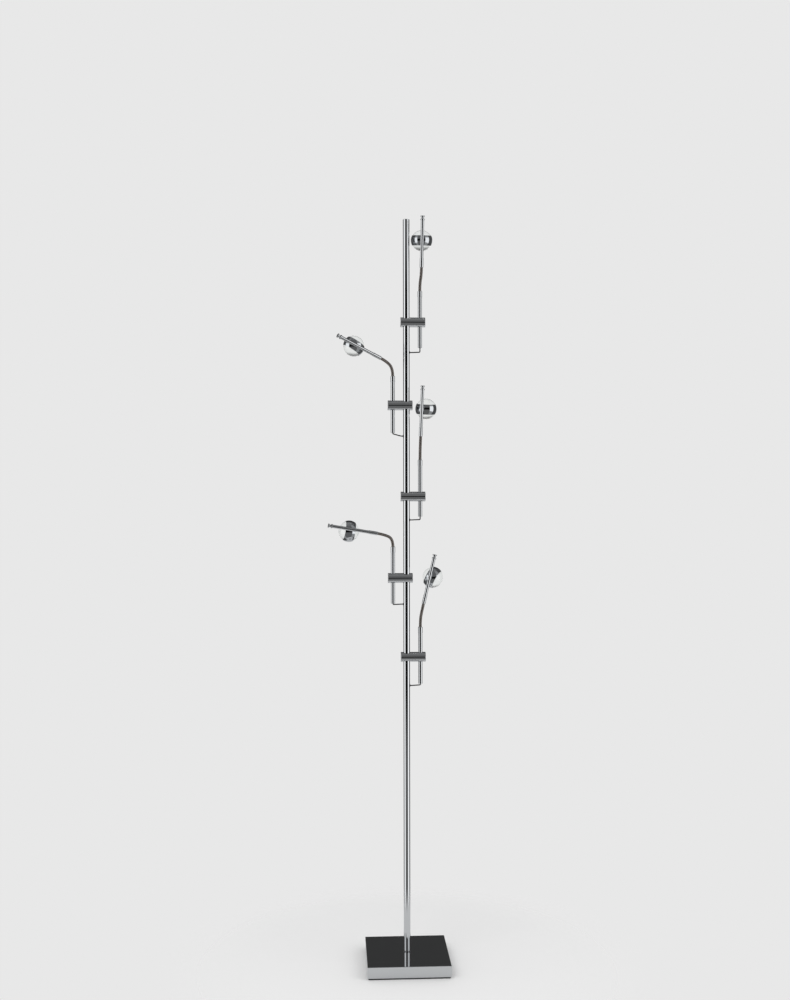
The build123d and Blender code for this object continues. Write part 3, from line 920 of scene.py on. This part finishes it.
# Mirror-polished chrome gives the eye the cleanest reflections on the lamp, dark with hard glints
mirror_chrome = polished_metal(
    "mirror_chrome_spring", mirror_colour, mirror_haze, mirror_patch, mirror_ripple, mirror_depth
)
bpy.ops.object.select_all(action="DESELECT")
bpy.ops.mesh.primitive_circle_add(vertices=strap_arc_sides, radius=strap_radius * mm)
strap = bpy.context.active_object
edit_all()
for plane_co, plane_no in (
    ((0, 0, 0), (0, 1, 0)),
    ((strap_half_width, 0, 0), (1, 0, 0)),
    ((-strap_half_width, 0, 0), (-1, 0, 0)),
):
    bpy.ops.mesh.select_all(action="SELECT")
    bpy.ops.mesh.bisect(plane_co=plane_co, plane_no=plane_no, clear_outer=True)
bpy.ops.object.mode_set(mode="OBJECT")
strap.data.transform(Matrix.Rotation(strap_reach, 4, "X"))
edit_all()
bpy.ops.mesh.spin(steps=strap_spin_steps, angle=2 * strap_reach, center=(0, 0, 0), axis=(1, 0, 0))
bpy.ops.mesh.select_all(action="SELECT")
bpy.ops.mesh.remove_doubles(threshold=merge_distance)
bpy.ops.mesh.normals_make_consistent(inside=False)
bpy.ops.object.mode_set(mode="OBJECT")
wall = strap.modifiers.new("wall", "SOLIDIFY")
wall.thickness = strap_thickness
wall.offset = 0
apply_modifiers(strap)
ease_edges(strap, strap_edge_radius, 3, sharper_than=60)
strap.data.transform(Matrix.Translation((0, ball_from_led * mm, 0)))
swivel_hole = turned(
    "swivel_hole",
    [
        (led_shank_radius, collar_face - cutter_margin),
        (led_shank_radius, strap_pocket_floor),
        (strap_pocket_radius, strap_pocket_floor),
        (strap_pocket_radius, strap_pocket_floor + cutter_margin),
    ],
    small_part_sides,
)
lay_along(swivel_hole, (0, 1, 0))
cut(strap, swivel_hole)
pick(strap)
bpy.ops.object.shade_smooth_by_angle(angle=strap_shading_angle)
strap.data.materials.append(mirror_chrome)
lens_place = {n: head_place[n] @ Matrix.Rotation(radians(strap_turn[n]), 4, "Y") for n in arms}
for n in arms:
    fit_copy(strap, f"chromed_strap_{n}", lens_place[n], f"lens_{n}", f"strap_{n}")
bpy.data.objects.remove(strap)

# Ball lenses: solid balls of clear glass, ground and polished, each held by its strap alone. It stands close
# in front of its chip, and is the only lens that the chip has.
ball_radius = 25 * mm
ball_cuts = 31
glass_tint_colour = "FCFEFD"
glass_ior = 1.52
glass_smear = (0, 0.012)
smear_size = 14 * mm
smear_range = (0.5, 0.8)

# Polished clear glass gives the eye the room upside down within a thin grey outline, and faint finger smears
polished_glass, tree, shader, place = new_material("polished_clear_glass", glass_tint_colour, 0, 0)
shader.inputs["IOR"].default_value = glass_ior
shader.inputs["Transmission Weight"].default_value = 1
smears = add_node(tree, "TexNoise", {"Scale": 1 / smear_size, "Detail": 4}, {"Vector": place})
spread = {
    "From Min": smear_range[0],
    "From Max": smear_range[1],
    "To Min": glass_smear[0],
    "To Max": glass_smear[1],
}
roughness = add_node(tree, "MapRange", spread, {"Value": smears.outputs["Fac"]})
tree.links.new(roughness.outputs["Result"], shader.inputs["Roughness"])

bpy.ops.object.select_all(action="DESELECT")
bpy.ops.mesh.primitive_cube_add(size=2 * ball_radius)
ball = bpy.context.active_object
edit_all()
bpy.ops.mesh.subdivide(number_cuts=ball_cuts)
bpy.ops.transform.tosphere(value=1)
bpy.ops.object.mode_set(mode="OBJECT")
ball.data.transform(Matrix.Scale(ball_radius / ball.data.vertices[0].co.length, 4))
bpy.ops.object.shade_smooth()
ball.data.transform(Matrix.Translation((0, ball_from_led * mm, 0)))
ball.data.materials.append(polished_glass)
for n in arms:
    fit_copy(ball, f"glass_ball_{n}", lens_place[n], f"lens_{n}", f"ball_{n}")
bpy.data.objects.remove(ball)

# Studio: a pale floor that fades into a pale surround, and a dome that lights the lamp evenly. Metal sees a
# dark flag in front, a softbox at each side and the pale surround behind. Glass sees the pale surround on all
# sides, under a darker ceiling. Angles here are in degrees.
floor_radius = 0.65
floor_sides = 96
floor_fade = (0.32, 0.6)
floor_roughness = 0.75
studio_colour = "E8E8E8"
dome_light = 0.75
flag_turn = 7
flag_tilt = (9, 13)
flag_level = 0.01
beyond_flag_level = 0.2
flag_edge = (42, 48)
softbox_tilt = (18, 28)
softbox_level = 1.7
beyond_softbox_level = 0.45
softbox_edge = (86, 92)
side_level = 0.12
side_edge = (148, 158)
behind_rise = (10, 15)
behind_level = 0.8
above_behind_level = 0.055
overhead_rise = (50, 75)
overhead_level = 0.3
glass_overhead_rise = (30, 60)
glass_overhead_level = 0.1

# Matt floor paint gives the eye an even pale grey, on which the lamp leaves a soft shadow
floor_paint, tree, shader, place = new_material("matt_floor_paint", studio_colour, 0, floor_roughness)
outward = add_node(tree, "VectorMath", {"operation": "LENGTH"}, {0: place}).outputs["Value"]
fade = {"interpolation_type": "SMOOTHSTEP", "From Min": floor_fade[0], "From Max": floor_fade[1]}
rim = add_node(tree, "MapRange", fade, {"Value": outward}).outputs["Result"]
below = add_node(tree, "NewGeometry").outputs["Backfacing"]
hidden = add_node(tree, "Math", {"operation": "MAXIMUM"}, {0: rim, 1: below}).outputs["Value"]
clear = add_node(tree, "BsdfTransparent").outputs["BSDF"]
blend = add_node(tree, "MixShader", links={0: hidden, 1: shader.outputs["BSDF"], 2: clear})
tree.links.new(blend.outputs["Shader"], tree.nodes["Material Output"].inputs["Surface"])
bpy.ops.object.select_all(action="DESELECT")
bpy.ops.mesh.primitive_circle_add(vertices=floor_sides, radius=floor_radius, fill_type="NGON")
floor = bpy.context.active_object
floor.name = "studio_floor"
floor.data.materials.append(floor_paint)

studio = bpy.data.worlds.new("studio")
bpy.context.scene.world = studio
studio.use_nodes = True
tree = studio.node_tree
outlook = add_node(tree, "TexCoord").outputs["Generated"]
direction = add_node(tree, "SeparateXYZ", links={0: outlook}).outputs
forward = add_node(tree, "Math", {"operation": "MULTIPLY", 1: -1}, {0: direction["Y"]}).outputs[0]
bearing = add_node(tree, "Math", {"operation": "ARCTAN2"}, {0: direction["X"], 1: forward}).outputs[0]
bearing = add_node(tree, "Math", {"operation": "ADD", 1: radians(flag_turn)}, {0: bearing}).outputs[0]
bearing = add_node(tree, "Math", {"operation": "ABSOLUTE"}, {0: bearing}).outputs[0]
rise = add_node(tree, "Math", {"operation": "ARCSINE"}, {0: direction["Z"]}).outputs[0]
tilt = add_node(tree, "Math", {"operation": "ABSOLUTE"}, {0: rise}).outputs[0]


def step_between(angle, edges, below_it, above_it):
    """A level that goes smoothly from one value to another where an angle passes between two edges."""
    start, end = (radians(edge) for edge in edges)
    settings = {"interpolation_type": "SMOOTHSTEP", "From Min": start, "From Max": end}
    share = add_node(tree, "MapRange", settings, {"Value": angle}).outputs["Result"]
    ends = add_node(tree, "Mix", {"data_type": "FLOAT"}, {0: share})
    for socket, level in ((2, below_it), (3, above_it)):
        if isinstance(level, (int, float)):
            ends.inputs[socket].default_value = level
        else:
            tree.links.new(level, ends.inputs[socket])
    return ends.outputs[0]


flag = step_between(tilt, flag_tilt, flag_level, beyond_flag_level)
softbox = step_between(tilt, softbox_tilt, softbox_level, beyond_softbox_level)
front = step_between(bearing, flag_edge, flag, softbox)
sides = step_between(bearing, softbox_edge, front, side_level)
behind = step_between(rise, behind_rise, behind_level, above_behind_level)
around = step_between(bearing, side_edge, sides, behind)
for_metal = step_between(rise, overhead_rise, around, overhead_level)
for_glass = step_between(rise, glass_overhead_rise, behind_level, glass_overhead_level)
ray = add_node(tree, "LightPath").outputs
float_mix = {"data_type": "FLOAT"}
level = add_node(tree, "Mix", {**float_mix, 2: dome_light}, {0: ray["Is Glossy Ray"], 3: for_metal})
level = add_node(
    tree, "Mix", float_mix, {0: ray["Is Transmission Ray"], 2: level.outputs[0], 3: for_glass}
)
level = add_node(
    tree,
    "Mix",
    {**float_mix, 3: linear(studio_colour)[0]},
    {0: ray["Is Camera Ray"], 2: level.outputs[0]},
)
tree.links.new(level.outputs[0], tree.nodes["Background"].inputs["Color"])

aim_point = Vector((0, 0, 0.9))
for name, spot, size, power in (
    ("key_light", Vector((-1.6, -2.2, 3.2)), 2.2, 48),
    ("fill_light", Vector((2.4, -1.4, 2.4)), 2.5, 23),
):
    light = bpy.data.lights.new(name, "AREA")
    light.shape = "DISK"
    light.size = size
    light.energy = power
    lamp = bpy.data.objects.new(name, light)
    lamp.location = spot
    lamp.rotation_euler = (aim_point - spot).to_track_quat("-Z", "Y").to_euler()
    lamp.visible_glossy = False
    bpy.context.collection.objects.link(lamp)

bpy.context.scene.view_settings.view_transform = "Standard"
